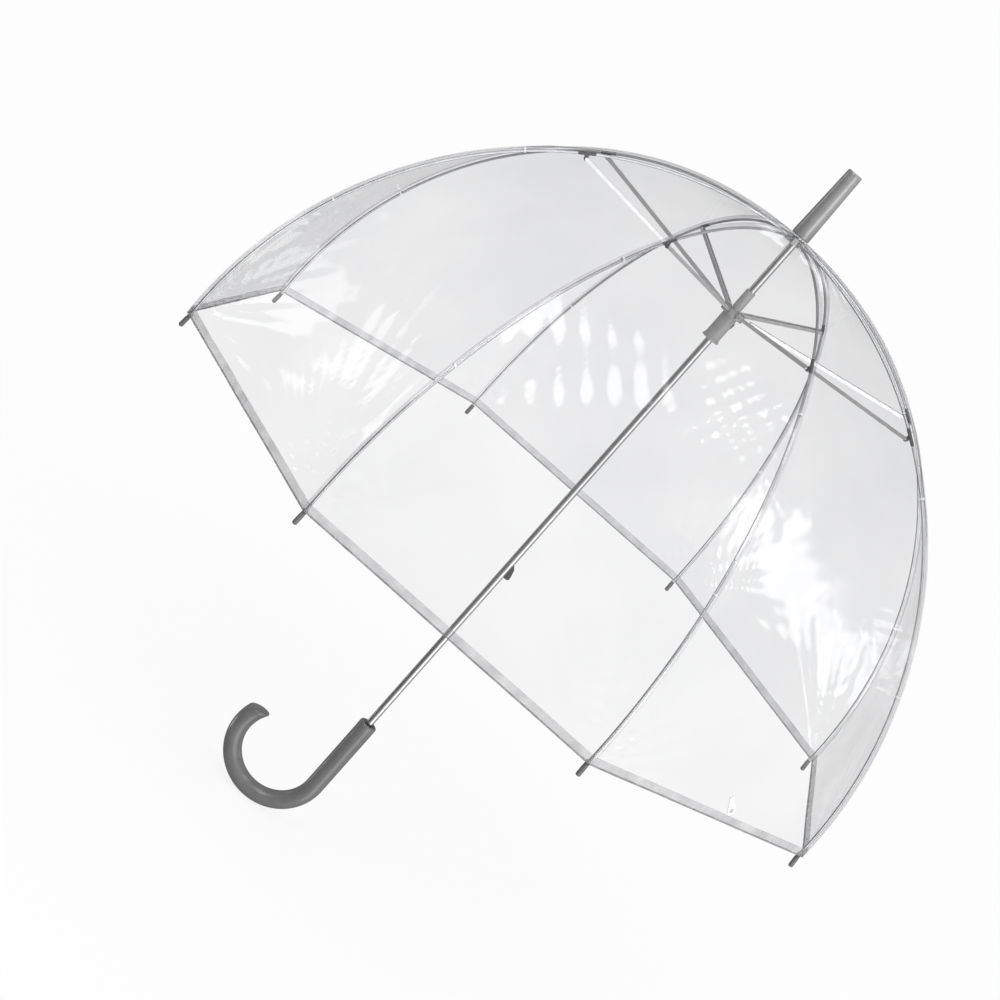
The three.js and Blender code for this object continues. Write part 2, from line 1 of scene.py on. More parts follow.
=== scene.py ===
"""Looks of the clear bubble umbrella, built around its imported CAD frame. Metres, +Z up along the shaft."""

import math
import random

import bmesh
import bpy
import numpy as np
from mathutils import Matrix, Vector


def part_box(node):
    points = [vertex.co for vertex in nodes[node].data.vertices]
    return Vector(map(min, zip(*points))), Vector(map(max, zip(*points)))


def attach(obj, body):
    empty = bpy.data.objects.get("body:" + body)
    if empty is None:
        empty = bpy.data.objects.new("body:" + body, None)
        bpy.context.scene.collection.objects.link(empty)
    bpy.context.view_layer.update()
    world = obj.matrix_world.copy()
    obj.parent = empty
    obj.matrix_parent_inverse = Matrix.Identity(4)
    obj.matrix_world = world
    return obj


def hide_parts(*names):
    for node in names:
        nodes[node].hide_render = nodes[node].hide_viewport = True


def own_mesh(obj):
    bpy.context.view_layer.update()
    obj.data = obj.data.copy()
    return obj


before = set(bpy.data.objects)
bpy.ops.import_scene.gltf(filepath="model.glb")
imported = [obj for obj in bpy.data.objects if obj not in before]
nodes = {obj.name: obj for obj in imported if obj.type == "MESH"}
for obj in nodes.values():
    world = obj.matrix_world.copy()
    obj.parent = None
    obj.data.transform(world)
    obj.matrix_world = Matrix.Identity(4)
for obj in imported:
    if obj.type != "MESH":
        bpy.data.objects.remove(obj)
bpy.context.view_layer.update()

# ---- Sizes shared by several pieces, in metres and radians ----

MM = 0.001
GAP = 0.3 * MM  # between fixed neighbours

RIB_COUNT = 8
FIRST_RIB_DEG = -157.5
RIB_STEP_DEG = 360 / RIB_COUNT
HALF_WEDGE = math.radians(RIB_STEP_DEG / 2)

FILM_EDGE_RADIUS = 6 * MM  # the hole around the shaft
FILM_HALF_THICKNESS = 0.4 * MM
HUB_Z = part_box("film_gore_1")[0].z
APEX_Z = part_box("apex_washer")[0].z - GAP
DOME_RADIUS = APEX_Z - HUB_Z
FILM_RADIUS = DOME_RADIUS - FILM_HALF_THICKNESS
FILM_START = math.asin(FILM_EDGE_RADIUS / DOME_RADIUS)
HEM = math.pi / 2
HEM_HEIGHT = 7 * MM

WIRE_RADIUS = 1.2 * MM
WIRE_DEPTH = 3.7 * MM  # from the film's outside to the middle of the rib's wire
RIB_CURVE_RADIUS = DOME_RADIUS - WIRE_DEPTH
CLIP = math.radians(31.8)
CLIP_HALF_LENGTH = 8 * MM
CLIP_DROP = 4.5 * MM
FLEX_GAP = 0.9 * MM / RIB_CURVE_RADIUS
UPPER_END = CLIP + CLIP_HALF_LENGTH / RIB_CURVE_RADIUS
UPPER_FLEX = UPPER_END + FLEX_GAP / 2
LOWER_FLEX = math.radians(61)
TIES = (math.radians(40), math.radians(65.7))

SHAFT_RADIUS = 3.5 * MM
SOCKET_GAP = 0.35 * MM

RIB_PARTS = (
    ("upper", FILM_START, UPPER_FLEX),
    ("middle", UPPER_FLEX, LOWER_FLEX),
    ("lower", LOWER_FLEX, HEM),
)


# ---- Mesh helpers ----


def link(thing):
    """Puts a new object into the scene."""
    bpy.context.scene.collection.objects.link(thing)
    return thing


def in_mm(pairs):
    """A profile that is written in millimetres, in metres."""
    return [(radius * MM, height * MM) for radius, height in pairs]


def circle(sides):
    """The cosine and sine of each step round a circle."""
    turns = [2 * math.pi * j / sides for j in range(sides)]
    return [(math.cos(turn), math.sin(turn)) for turn in turns]


def new_object(name, points, faces, material, sharp_deg=38):
    """A smooth-shaded mesh object whose edges over sharp_deg stay crisp."""
    mesh = bpy.data.meshes.new(name)
    mesh.from_pydata([tuple(p) for p in points], [], faces)
    mesh.materials.append(material)
    piece = link(bpy.data.objects.new(name, mesh))
    work = bmesh.new()
    work.from_mesh(mesh)
    bmesh.ops.recalc_face_normals(work, faces=work.faces)
    for face in work.faces:
        face.smooth = True
    for edge in work.edges:
        edge.smooth = edge.calc_face_angle(0) < math.radians(sharp_deg)
    work.to_mesh(mesh)
    work.free()
    return piece


def grid_faces(rows, columns, wrap=False, start=0):
    """Quads of a rows by columns grid of points, or with wrap, of rings one above the other."""
    faces = []
    for i in range(rows - 1):
        for j in range(columns if wrap else columns - 1):
            a = start + i * columns + j
            b = start + i * columns + (j + 1) % columns
            faces.append((a, b, b + columns, a + columns))
    return faces


def closing_faces(rows, columns):
    """Quads that join the last ring of a wrapped grid to its first."""
    last = (rows - 1) * columns
    return [(last + j, last + (j + 1) % columns, (j + 1) % columns, j) for j in range(columns)]


def weld(piece, distance=1e-6):
    """Merges points that fall together, such as the ends of a lathe on its axis."""
    work = bmesh.new()
    work.from_mesh(piece.data)
    bmesh.ops.remove_doubles(work, verts=work.verts, dist=distance)
    bmesh.ops.recalc_face_normals(work, faces=work.faces)
    work.to_mesh(piece.data)
    work.free()


def lathe(name, profile, material, sides=48, centre=(0, 0, 0), axis="Z", close=False):
    """A turned piece from (radius, height) pairs. A zero radius closes on the axis."""
    points = []
    for radius, height in profile:
        points += [Vector((radius * cosine, radius * sine, height)) for cosine, sine in circle(sides)]
    faces = grid_faces(len(profile), sides, wrap=True)
    if close:
        faces += closing_faces(len(profile), sides)
    if axis == "Y":
        points = [Vector((p.x, p.z, p.y)) for p in points]
    shift = Vector(centre)
    piece = new_object(name, [p + shift for p in points], faces, material)
    weld(piece)
    return piece


def capped_rings(name, rings, sides, points, material, sharp_deg=38):
    """A solid from rings of points one after another, with a flat face over its first and last ring."""
    faces = grid_faces(rings, sides, wrap=True)
    faces.append(tuple(range(sides))[::-1])
    faces.append(tuple(range((rings - 1) * sides, rings * sides)))
    return new_object(name, points, faces, material, sharp_deg)


def planar_sweep(name, path, material, sides=12, radii=None):
    """A round bar along a path in the XZ plane. radii gives each ring's radius."""
    points = []
    for i, here in enumerate(path):
        before = path[max(i - 1, 0)]
        after = path[min(i + 1, len(path) - 1)]
        along = (after - before).normalized()
        across = Vector((along.z, 0, -along.x))
        radius = radii[i] if radii else WIRE_RADIUS
        for cosine, sine in circle(sides):
            offset = across * cosine + Vector((0, 1, 0)) * sine
            points.append(here + offset * radius)
    return capped_rings(name, len(path), sides, points, material)


def bead_along(name, line, outward, radius, material, sides=10):
    """A round bead along a line of points that runs level."""
    points = []
    for here, facing in zip(line, outward):
        for cosine, sine in circle(sides):
            points.append(Vector(here) + Vector(facing) * radius * cosine + Vector((0, 0, 1)) * radius * sine)
    return capped_rings(name, len(line), sides, points, material)


def slab(name, front, normals, thickness, material, sharp_deg=50):
    """A closed sheet from a grid of front points, their outward normals and a thickness for each column."""
    rows, columns, _ = front.shape
    back = front - normals * np.asarray(thickness).reshape(1, -1, 1)
    points = np.concatenate([front.reshape(-1, 3), back.reshape(-1, 3)])
    count = rows * columns
    faces = grid_faces(rows, columns)
    faces += [(d + count, c + count, b + count, a + count) for a, b, c, d in grid_faces(rows, columns)]
    rim = list(range(columns))
    rim += [i * columns + columns - 1 for i in range(1, rows)]
    rim += [(rows - 1) * columns + j for j in range(columns - 2, -1, -1)]
    rim += [i * columns for i in range(rows - 2, 0, -1)]
    for a, b in zip(rim, rim[1:] + rim[:1]):
        faces.append((b, a, a + count, b + count))
    return new_object(name, points, faces, material, sharp_deg)


def join(name, parts):
    """One object from several, keeping each part's material."""
    work = bmesh.new()
    materials = []
    for part in parts:
        material = part.data.materials[0]
        if material not in materials:
            materials.append(material)
        seen = len(work.faces)
        work.from_mesh(part.data)
        work.faces.ensure_lookup_table()
        for face in work.faces[seen:]:
            face.material_index = materials.index(material)
    mesh = bpy.data.meshes.new(name)
    work.to_mesh(mesh)
    work.free()
    for material in materials:
        mesh.materials.append(material)
    for part in parts:
        bpy.data.objects.remove(part)
    return link(bpy.data.objects.new(name, mesh))


def rib_degrees(rib):
    return FIRST_RIB_DEG + RIB_STEP_DEG * (rib - 1)


def turn_to_rib(piece, rib):
    """Turns a piece that was made in the XZ plane into a rib's own plane."""
    piece.data.transform(Matrix.Rotation(math.radians(rib_degrees(rib)), 4, "Z"))


def on_rib(angle, radius=RIB_CURVE_RADIUS):
    """A point in the XZ plane, at an angle from the top of the dome."""
    return Vector((radius * math.sin(angle), 0, HUB_Z + radius * math.cos(angle)))


def arc(start, end, steps):
    """Points along the rib's wire, from one angle to another."""
    return [on_rib(start + (end - start) * i / steps) for i in range(steps + 1)]


# ---- Materials ----

COLOUR_SCALE = 90  # of the noise that a solid's colour follows
COAT_ROUGHNESS = 0.12
GRAIN_DEPTH = 0.2 * MM

FILM_FACE_ON = 0.06  # share of light that the film reflects when seen face on
FILM_EDGE_ON = 0.36  # and at grazing angles
FILM_STEEPNESS = 4
FILM_CLOUD = (0.9, 0.9, 0.92, 1)
FILM_RIPPLE_SCALE = 55
FILM_RIPPLE_DEPTH = 1.2 * MM

ALONG_SHAFT = (1, 1, 0.04)


def grey(value):
    return (value, value, value)


def blank_tree(block):
    """The emptied node tree of a material or a world."""
    block.use_nodes = True
    block.node_tree.nodes.clear()
    return block.node_tree


def feed(tree, socket, value):
    """Gives an input a constant, or another node's output."""
    if isinstance(value, bpy.types.NodeSocket):
        tree.links.new(value, socket)
    else:
        socket.default_value = value


def add_node(tree, kind, inputs, output=0):
    """Adds a node and returns one of its outputs."""
    node = tree.nodes.new(kind)
    for key, value in inputs.items():
        feed(tree, node.inputs[key], value)
    return node.outputs[output]


def maths(tree, operation, *values):
    node = tree.nodes.new("ShaderNodeMath")
    node.operation = operation
    for socket, value in zip(node.inputs, values):
        feed(tree, socket, value)
    return node.outputs["Value"]


def map_range(tree, value, low, high, new_low=0.0, new_high=1.0, kind="SMOOTHSTEP"):
    node = tree.nodes.new("ShaderNodeMapRange")
    node.interpolation_type = kind
    limits = {"From Min": low, "From Max": high, "To Min": new_low, "To Max": new_high}
    for key, limit in limits.items():
        node.inputs[key].default_value = limit
    tree.links.new(value, node.inputs["Value"])
    return node.outputs["Result"]


def mix_shaders(tree, share, first, second):
    return add_node(tree, "ShaderNodeMixShader", {"Fac": share, 1: first, 2: second})


def texture_noise(tree, scale, detail=3, stretch=(1, 1, 1)):
    """Noise over the piece's own coordinates, stretched where a finish runs one way."""
    place = add_node(tree, "ShaderNodeTexCoord", {}, "Object")
    mapped = add_node(tree, "ShaderNodeMapping", {"Vector": place, "Scale": stretch})
    return add_node(tree, "ShaderNodeTexNoise", {"Vector": mapped, "Scale": scale, "Detail": detail}, "Fac")


def ramp(tree, source, low, high, start=0.35, end=0.65):
    """A colour ramp from low to high over a noise's middle range."""
    node = tree.nodes.new("ShaderNodeValToRGB")
    node.color_ramp.elements[0].position = start
    node.color_ramp.elements[1].position = end
    node.color_ramp.elements[0].color = (*low, 1)
    node.color_ramp.elements[1].color = (*high, 1)
    tree.links.new(source, node.inputs["Fac"])
    return node.outputs["Color"]


def bump(tree, source, strength, distance):
    return add_node(tree, "ShaderNodeBump", {"Strength": strength, "Distance": distance, "Height": source})


def show(tree, kind, shader):
    """Ends a tree with its output node."""
    tree.links.new(shader, tree.nodes.new(kind).inputs["Surface"])


def solid_material(name, low, high, rough, metallic, grain, stretch=(1, 1, 1), relief=0.02, coat=0.0):
    """A plastic or metal. Its colour follows a broad noise, its roughness and its relief a fine one."""
    material = bpy.data.materials.new(name)
    tree = blank_tree(material)
    broad = texture_noise(tree, COLOUR_SCALE, detail=4)
    fine = texture_noise(tree, grain, stretch=stretch)
    shader = add_node(tree, "ShaderNodeBsdfPrincipled", {
        "Base Color": ramp(tree, broad, low, high),
        "Roughness": ramp(tree, fine, grey(rough[0]), grey(rough[1])),
        "Metallic": metallic,
        "Normal": bump(tree, fine, relief, GRAIN_DEPTH),
        "Coat Weight": coat,
        "Coat Roughness": COAT_ROUGHNESS,
    })
    show(tree, "ShaderNodeOutputMaterial", shader)
    return material


def film_material(name, low, high, milk, gloss_rough, cloud_scale, crumple):
    """Clear film. Light goes straight through, a little greyed, and more is reflected at grazing angles."""
    material = bpy.data.materials.new(name)
    tree = blank_tree(material)
    tint = ramp(tree, texture_noise(tree, cloud_scale, detail=5), low, high, start=0.3, end=0.7)
    normal = bump(tree, texture_noise(tree, FILM_RIPPLE_SCALE), crumple, FILM_RIPPLE_DEPTH)
    through = add_node(tree, "ShaderNodeBsdfTransparent", {"Color": tint})
    cloud = add_node(tree, "ShaderNodeBsdfDiffuse", {"Color": FILM_CLOUD})
    body = mix_shaders(tree, milk, through, cloud)
    gloss = add_node(tree, "ShaderNodeBsdfGlossy", {
        "Color": (1, 1, 1, 1), "Roughness": gloss_rough, "Normal": normal,
    })
    facing = add_node(tree, "ShaderNodeLayerWeight", {"Blend": 0.5, "Normal": normal}, "Facing")
    steep = maths(tree, "POWER", facing, FILM_STEEPNESS)
    share = maths(tree, "MULTIPLY_ADD", steep, FILM_EDGE_ON - FILM_FACE_ON, FILM_FACE_ON)
    show(tree, "ShaderNodeOutputMaterial", mix_shaders(tree, share, body, gloss))
    return material


clear_film = film_material(
    "clear_film_look", (0.893, 0.895, 0.903), (0.955, 0.955, 0.959),
    milk=0.008, gloss_rough=0.12, cloud_scale=7, crumple=0.1,
)
hem_film = film_material(
    "hem_film_look", (0.78, 0.78, 0.786), (0.92, 0.92, 0.924),
    milk=0.04, gloss_rough=0.14, cloud_scale=60, crumple=0.6,
)
bead_film = film_material(
    "hem_bead_look", grey(0.42), grey(0.68),
    milk=0.1, gloss_rough=0.14, cloud_scale=110, crumple=0.6,
)
seam_film = film_material(
    "seam_film_look", (0.88, 0.88, 0.886), (0.96, 0.96, 0.963),
    milk=0.02, gloss_rough=0.14, cloud_scale=40, crumple=0.15,
)
handle_grey = solid_material(
    "handle_look", grey(0.115), grey(0.13), (0.3, 0.36), 0.0, 900, relief=0.01, coat=0.35
)
ferrule_grey = solid_material(
    "ferrule_look", grey(0.27), grey(0.3), (0.28, 0.33), 0.45, 700, ALONG_SHAFT, relief=0.01
)
bright_steel = solid_material(
    "shaft_look", grey(0.46), grey(0.52), (0.16, 0.24), 1.0, 900, ALONG_SHAFT, relief=0.006
)
stretcher_steel = solid_material(
    "stretcher_look", grey(0.66), grey(0.74), (0.42, 0.52), 1.0, 600, relief=0.02
)
wire_steel = solid_material(
    "rib_wire_look", (0.52, 0.525, 0.535), (0.62, 0.625, 0.635), (0.3, 0.42), 1.0, 600, relief=0.02
)
dark_metal = solid_material(
    "dark_wire_look", grey(0.05), grey(0.085), (0.34, 0.5), 0.6, 700, relief=0.06
)
pale_plastic = solid_material(
    "pale_plastic_look", grey(0.46), grey(0.53), (0.38, 0.5), 0.0, 800, relief=0.05
)
collar_plastic = solid_material(
    "collar_look", grey(0.26), grey(0.32), (0.38, 0.5), 0.0, 800, relief=0.05
)
runner_plastic = solid_material(
    "runner_look", grey(0.25), grey(0.3), (0.34, 0.46), 0.0, 800, relief=0.05
)
cap_plastic = solid_material(
    "tip_cap_look", grey(0.1), grey(0.13), (0.38, 0.52), 0.0, 900, relief=0.07
)
white_plastic = solid_material(
    "white_plastic_look", grey(0.82), grey(0.9), (0.35, 0.5), 0.0, 700, relief=0.05
)

# ---- Film ----

# Folds that run out of one point: how high they stand, how slowly they rise there, and the shares of the
# broad and the fine ones.
FOLD_HEIGHT = 1.3
FOLD_ROOT = 25 * MM
BROAD_FOLDS = 0.55
FINE_FOLDS = 0.3
FINE_PER_BROAD = 2.6

CORNER_FOLDS = {1: 2.4, 3: 1.9, 4: 1.8, 8: 1.8}  # strength in mm at a gore's two corners
OTHER_CORNER_FOLDS = 1.2
CORNER_VARIATION = (0.9, 1.1)
CORNER_FOLD_COUNT = (17, 22)
CORNER_REACH = 90 * MM
TIE_FOLDS = (0.5, 1.0)
TIE_FOLD_COUNT = (9, 14)
TIE_REACH = 40 * MM
PHASES = (0, 6)

GATHER_COUNT = 4  # across a gore, under the ferrule
GATHER_HEIGHT = 0.7 * MM
GATHER_REACH = 55 * MM
WAVE_COUNT = 7
WAVE_LENGTHS = (60, 170)
WAVE_HEIGHT = 0.26 * MM

# The film lies flat along the seams, at the top and in the hem.
SEAM_FADE = 16 * MM
TOP_FADE = math.radians(4)
HEM_FADE = 22 * MM
HEM_FLATNESS = 0.75

# Creases that stand out on one gore: its number, the place across and down the film in mm, the heading in
# which the folds follow each other in degrees, their spacing and height in mm, and how far they spread across
# and along themselves in mm.
CREASES = (
    (2, -68, 378, -40, 22, 0.53, 72, 60),
    (2, 58, 312, 20, 13, 0.3, 42, 42),
    (2, 58, 312, 112, 19, 0.24, 42, 42),
    (3, 12, 436, 35, 15, 0.24, 40, 40),
    (3, 30, 420, 120, 21, 0.3, 45, 45),
    (3, 80, 395, 80, 12, 0.2, 30, 30),
    (1, 45, 440, 150, 18, 0.25, 40, 40),
    (8, 20, 430, 60, 17, 0.25, 45, 45),
    (6, -40, 400, 130, 16, 0.25, 45, 45),
    (5, 30, 380, 45, 18, 0.25, 45, 45),
)

PANEL_COLUMNS = 24
ROW_LENGTH = 3.6 * MM

HEM_SWELL = (0.35, 0.5, 0.4, 0.4, 0.35)  # half the band's thickness in mm, from its upper edge down
HEM_OVERHANG = 0.4 * MM
HEM_STEPS = 40
BEAD_RADIUS = 0.75 * MM

SEAM_HALF_WIDTH = 2.1 * MM
SEAM_COLUMNS = 9
SEAM_CREST = 1.2 * MM  # how blunt the ridge is that the seam follows
SEAM_STAND = 0.75 * MM
SEAM_ROW_LENGTH = 6 * MM
SEAM_THICKNESS = 0.5 * MM


def gore_axes(gore):
    middle = math.radians(rib_degrees(gore) + RIB_STEP_DEG / 2)
    outward = np.array((math.cos(middle), math.sin(middle), 0))
    sideways = np.array((-math.sin(middle), math.cos(middle), 0))
    return outward, sideways


def fan(x, y, centre_x, centre_y, count, phase, reach):
    """Folds that run out of one point of the film and die away over reach."""
    dx = x - centre_x
    dy = y - centre_y
    distance = np.hypot(dx, dy)
    heading = np.arctan2(dy, np.abs(dx) + 1e-6)
    rise = FOLD_HEIGHT * (distance / (distance + FOLD_ROOT)) ** 2
    broad = BROAD_FOLDS * np.sin(count * heading + phase)
    fine = FINE_FOLDS * np.sin(FINE_PER_BROAD * count * heading + 2 * phase)
    return (broad + fine) * rise * np.exp(-distance / reach)


def crease(x, y, centre_x, centre_y, heading_deg, spacing, height, spread, length):
    """A patch of even folds, fading out all round."""
    dx = x - centre_x * MM
    dy = y - centre_y * MM
    heading = math.radians(heading_deg)
    run = dx * math.cos(heading) + dy * math.sin(heading)
    rest = dy * math.cos(heading) - dx * math.sin(heading)
    near = np.exp(-((run / (spread * MM)) ** 2) - (rest / (length * MM)) ** 2)
    return height * MM * near * np.cos(2 * math.pi * run / (spacing * MM))


def film_lift(gore, angle, across):
    """How far the film stands out from its ideal surface, at an angle and a place across the gore."""
    draw = random.Random(gore)
    half_width = FILM_RADIUS * np.sin(angle) * math.sin(HALF_WEDGE)
    x = across * half_width
    y = FILM_RADIUS * angle
    lift = np.zeros_like(x)
    hem_y = FILM_RADIUS * HEM
    hem_half = FILM_RADIUS * math.sin(HALF_WEDGE)
    for side in (-1, 1):
        strength = draw.uniform(*CORNER_VARIATION) * CORNER_FOLDS.get(gore, OTHER_CORNER_FOLDS) * MM
        count = draw.uniform(*CORNER_FOLD_COUNT)
        phase = draw.uniform(*PHASES)
        lift += strength * fan(x, y, side * hem_half, hem_y, count, phase, CORNER_REACH)
        for tie_angle in TIES:
            strength = draw.uniform(*TIE_FOLDS) * MM
            count = draw.uniform(*TIE_FOLD_COUNT)
            phase = draw.uniform(*PHASES)
            tie_x = side * FILM_RADIUS * math.sin(tie_angle) * math.sin(HALF_WEDGE)
            lift += strength * fan(x, y, tie_x, FILM_RADIUS * tie_angle, count, phase, TIE_REACH)
    gathers = np.sin(math.pi * GATHER_COUNT * across + draw.uniform(*PHASES))
    lift += GATHER_HEIGHT * gathers * np.exp(-y / GATHER_REACH)
    for _ in range(WAVE_COUNT):
        heading = draw.uniform(0, math.pi)
        length = draw.uniform(*WAVE_LENGTHS) * MM
        phase = draw.uniform(0, 2 * math.pi)
        run = x * math.cos(heading) + y * math.sin(heading)
        lift += WAVE_HEIGHT * np.sin(2 * math.pi * run / length + phase)
    for where, *shape in CREASES:
        if where == gore:
            lift += crease(x, y, *shape)
    edge = np.clip((half_width - np.abs(x)) / SEAM_FADE, 0, 1)
    top = np.clip((angle - FILM_START) / TOP_FADE, 0, 1)
    hem = 1 - HEM_FLATNESS * np.clip(1 - (hem_y - y) / HEM_FADE, 0, 1)
    return lift * edge * edge * (3 - 2 * edge) * top * hem


def film_points(gore, angle, across):
    """Points of a gore. across runs from -1 on its own rib to 1 on the next rib."""
    outward, sideways = gore_axes(gore)
    ridge = FILM_RADIUS * np.sin(angle)
    lean = np.stack([np.sin(angle), np.cos(angle) * math.cos(HALF_WEDGE)], -1)
    lean /= np.linalg.norm(lean, axis=-1, keepdims=True)
    lift = film_lift(gore, angle, across)
    out = ridge * math.cos(HALF_WEDGE) + lift * lean[..., 0]
    up = HUB_Z + FILM_RADIUS * np.cos(angle) + lift * lean[..., 1]
    side = ridge * math.sin(HALF_WEDGE) * across
    points = out[..., None] * outward + side[..., None] * sideways
    points[..., 2] = up
    return points


def film_normals(gore, angle, across):
    step = 1e-4
    down = film_points(gore, angle + step, across) - film_points(gore, angle - step, across)
    along = film_points(gore, angle, across + step) - film_points(gore, angle, across - step)
    normal = np.cross(down, along)
    return normal / np.linalg.norm(normal, axis=-1, keepdims=True)


def rib_gore(rib, side):
    """The gore on one side of a rib, and where the rib lies across that gore."""
    return (rib, -1) if side > 0 else ((rib - 2) % RIB_COUNT + 1, 1)


def side_name(side):
    return "right" if side > 0 else "left"


def gather(piece):
    """Gives a piece of film its own copy of its mesh."""
    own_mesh(piece)


def film_panel(rib, part, start, end, side):
    """Half a gore's film beside one part of a rib, from the rib to the middle of the gore."""
    gore, rib_across = rib_gore(rib, side)
    rows = round((end - start) * FILM_RADIUS / ROW_LENGTH)
    angles = np.linspace(start, end, rows + 1)
    across = rib_across * np.linspace(1, 0, PANEL_COLUMNS + 1)
    angle_grid, across_grid = np.meshgrid(angles, across, indexing="ij")
    points = film_points(gore, angle_grid, across_grid).reshape(-1, 3)
    normals = film_normals(gore, angle_grid, across_grid).reshape(-1, 3)
    faces = grid_faces(rows + 1, PANEL_COLUMNS + 1)
    if side > 0:
        faces = [face[::-1] for face in faces]
    name = f"film_{rib}_{part}_{side_name(side)}"
    mesh = bpy.data.meshes.new(name)
    mesh.from_pydata([tuple(p) for p in points], [], faces)
    mesh.materials.append(clear_film)
    mesh.shade_smooth()
    mesh.normals_split_custom_set_from_vertices([tuple(n) for n in normals])
    piece = link(bpy.data.objects.new(name, mesh))
    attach(piece, f"rib_{rib}_{part}_part")
    gather(piece)
    return piece


def hem_strip(rib, side):
    """The hem's doubled band and its rolled edge, from a rib's tip to the middle of the gore."""
    gore, rib_across = rib_gore(rib, side)
    top = HEM - HEM_HEIGHT / FILM_RADIUS
    bottom = HEM + HEM_OVERHANG / FILM_RADIUS
    columns = np.linspace(top, bottom, len(HEM_SWELL))
    across = rib_across * np.linspace(1, 0, HEM_STEPS + 1)
    across_grid, angle_grid = np.meshgrid(across, columns, indexing="ij")
    normals = film_normals(gore, angle_grid, across_grid)
    swell = np.array(HEM_SWELL) * MM
    front = film_points(gore, angle_grid, across_grid) + normals * swell.reshape(1, -1, 1)
    band = slab("band", front, normals, 2 * swell, hem_film)
    edge = film_points(gore, angle_grid[:, -1], across_grid[:, -1])
    bead = bead_along("bead", edge, normals[:, -1], BEAD_RADIUS, bead_film)
    strip = join(f"hem_{rib}_{side_name(side)}", [band, bead])
    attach(strip, f"rib_{rib}_lower_part")
    gather(strip)
    return strip


def seam_strip(rib, part, start, end):
    """The welded seam that two gores share, over one part of a rib."""
    rows = round((end - start) * FILM_RADIUS / SEAM_ROW_LENGTH) + 1
    offsets = np.linspace(-SEAM_HALF_WIDTH, SEAM_HALF_WIDTH, SEAM_COLUMNS)
    front = np.zeros((rows, SEAM_COLUMNS, 3))
    normals = np.zeros_like(front)
    for i, angle in enumerate(np.linspace(start, end, rows)):
        fall = math.tan(HALF_WEDGE) * math.sin(angle)
        for j, offset in enumerate(offsets):
            blunt = math.hypot(offset, SEAM_CREST)
            point = on_rib(angle, FILM_RADIUS + SEAM_STAND - fall * (blunt - SEAM_CREST))
            front[i, j] = (point.x, offset, point.z)
            tilt = fall * offset / blunt
            normals[i, j] = Vector((math.sin(angle), tilt, math.cos(angle))).normalized()
    strip = slab(f"seam_{rib}_{part}", front, normals, np.full(SEAM_COLUMNS, SEAM_THICKNESS), seam_film)
    turn_to_rib(strip, rib)
    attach(strip, f"rib_{rib}_{part}_part")


def build_film():
    for rib in range(1, RIB_COUNT + 1):
        for side in (1, -1):
            hem = hem_strip(rib, side)
            for part, start, end in RIB_PARTS:
                panel = film_panel(rib, part, start, end, side)
                gore = rib_gore(rib, side)[0]
                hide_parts(f"film_gore_{gore}")
        for part, start, end in RIB_PARTS:
            seam_strip(rib, part, start, end)


# ---- Ribs, ties and tips ----

NOTCH_PIVOT_RADIUS = 8 * MM
WIRE_STEPS = {"upper": 60, "middle": 52, "lower": 54}
EYE_RADIUS = 2.1 * MM
EYE_BORE = 0.95 * MM
EYE_THICKNESS = 1.6 * MM
EYE_TO_WIRE = 1.7 * MM  # from the eye's middle to the start of the wire
RING_EASE = 0.25 * MM

SLEEVE_STEPS = 14
SLEEVE_SPARE = 0.2 * MM
SLEEVE_END = 1.3 * MM
SLEEVE_BODY = 1.55 * MM
SLEEVE_GROOVE = 1.38 * MM
EAR_RADIUS = 2.2 * MM
EAR_BORE = 0.7 * MM
EAR_THICKNESS = 1.6 * MM
NECK_START = 0.8 * MM  # below the wire, and the step from one row of the neck to the next
NECK_ROWS = 5
NECK_HALF_WIDTH = 2.6
NECK_TAPER = 0.35
NECK_THICKNESS = 1.4 * MM
RIVET_PROFILE = (
    (0, -2.75), (0.7, -2.7), (1.2, -2.45), (0.65, -2.4), (0.65, 2.4), (1.2, 2.45), (0.7, 2.7), (0, 2.75),
)

CAP_START = 1.8  # below the hem, in mm like the cap's other sizes
CAP_LENGTH = 12.4
CAP_RADIUS = 2.2
CAP_NECK = CAP_RADIUS - 0.25
CAP_BORE = 1.5
CAP_FLARE = math.radians(6)
TAIL_STEPS = (1.5, 3, 5, 7, 8)  # of the wire inside the cap, in mm
EYELET_PROFILE = ((1.3, 0.9), (2.0, 0.7), (2.2, -0.3), (2.0, -1.4), (1.3, -1.6))

TIE_STEPS = 20
TIE_SIDES = 8
TIE_STAND = 1.0 * MM
TIE_HALF_HEIGHT = 2.4 * MM
TIE_HALF_WIDTH = 1.6 * MM
TIE_HALF_THICKNESS = 0.3 * MM
TIE_HALF_BREADTH = 0.9 * MM  # along the rib


def ring_across(name, centre, outer, inner, thickness, material):
    """A small ring whose axis is across the rib's plane, with eased edges."""
    half = thickness / 2
    profile = [
        (inner, -half), (outer - RING_EASE, -half), (outer, -half + RING_EASE),
        (outer, half - RING_EASE), (outer - RING_EASE, half), (inner, half),
    ]
    return lathe(name, profile, material, sides=24, centre=centre, axis="Y", close=True)


def finish_rib_part(piece, rib, part):
    turn_to_rib(piece, rib)
    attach(piece, f"rib_{rib}_{part}_part")
    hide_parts(f"rib_{rib}_{part}")


def rib_upper(rib):
    height = math.sqrt(RIB_CURVE_RADIUS**2 - NOTCH_PIVOT_RADIUS**2)
    pivot = Vector((NOTCH_PIVOT_RADIUS, 0, HUB_Z + height))
    start = math.asin(NOTCH_PIVOT_RADIUS / RIB_CURVE_RADIUS) + EYE_TO_WIRE / RIB_CURVE_RADIUS
    wire = planar_sweep("wire", arc(start, UPPER_END, WIRE_STEPS["upper"]), wire_steel)
    eye = ring_across("eye", pivot, EYE_RADIUS, EYE_BORE, EYE_THICKNESS, wire_steel)
    finish_rib_part(join(f"rib_wire_{rib}_upper", [wire, eye]), rib, "upper")


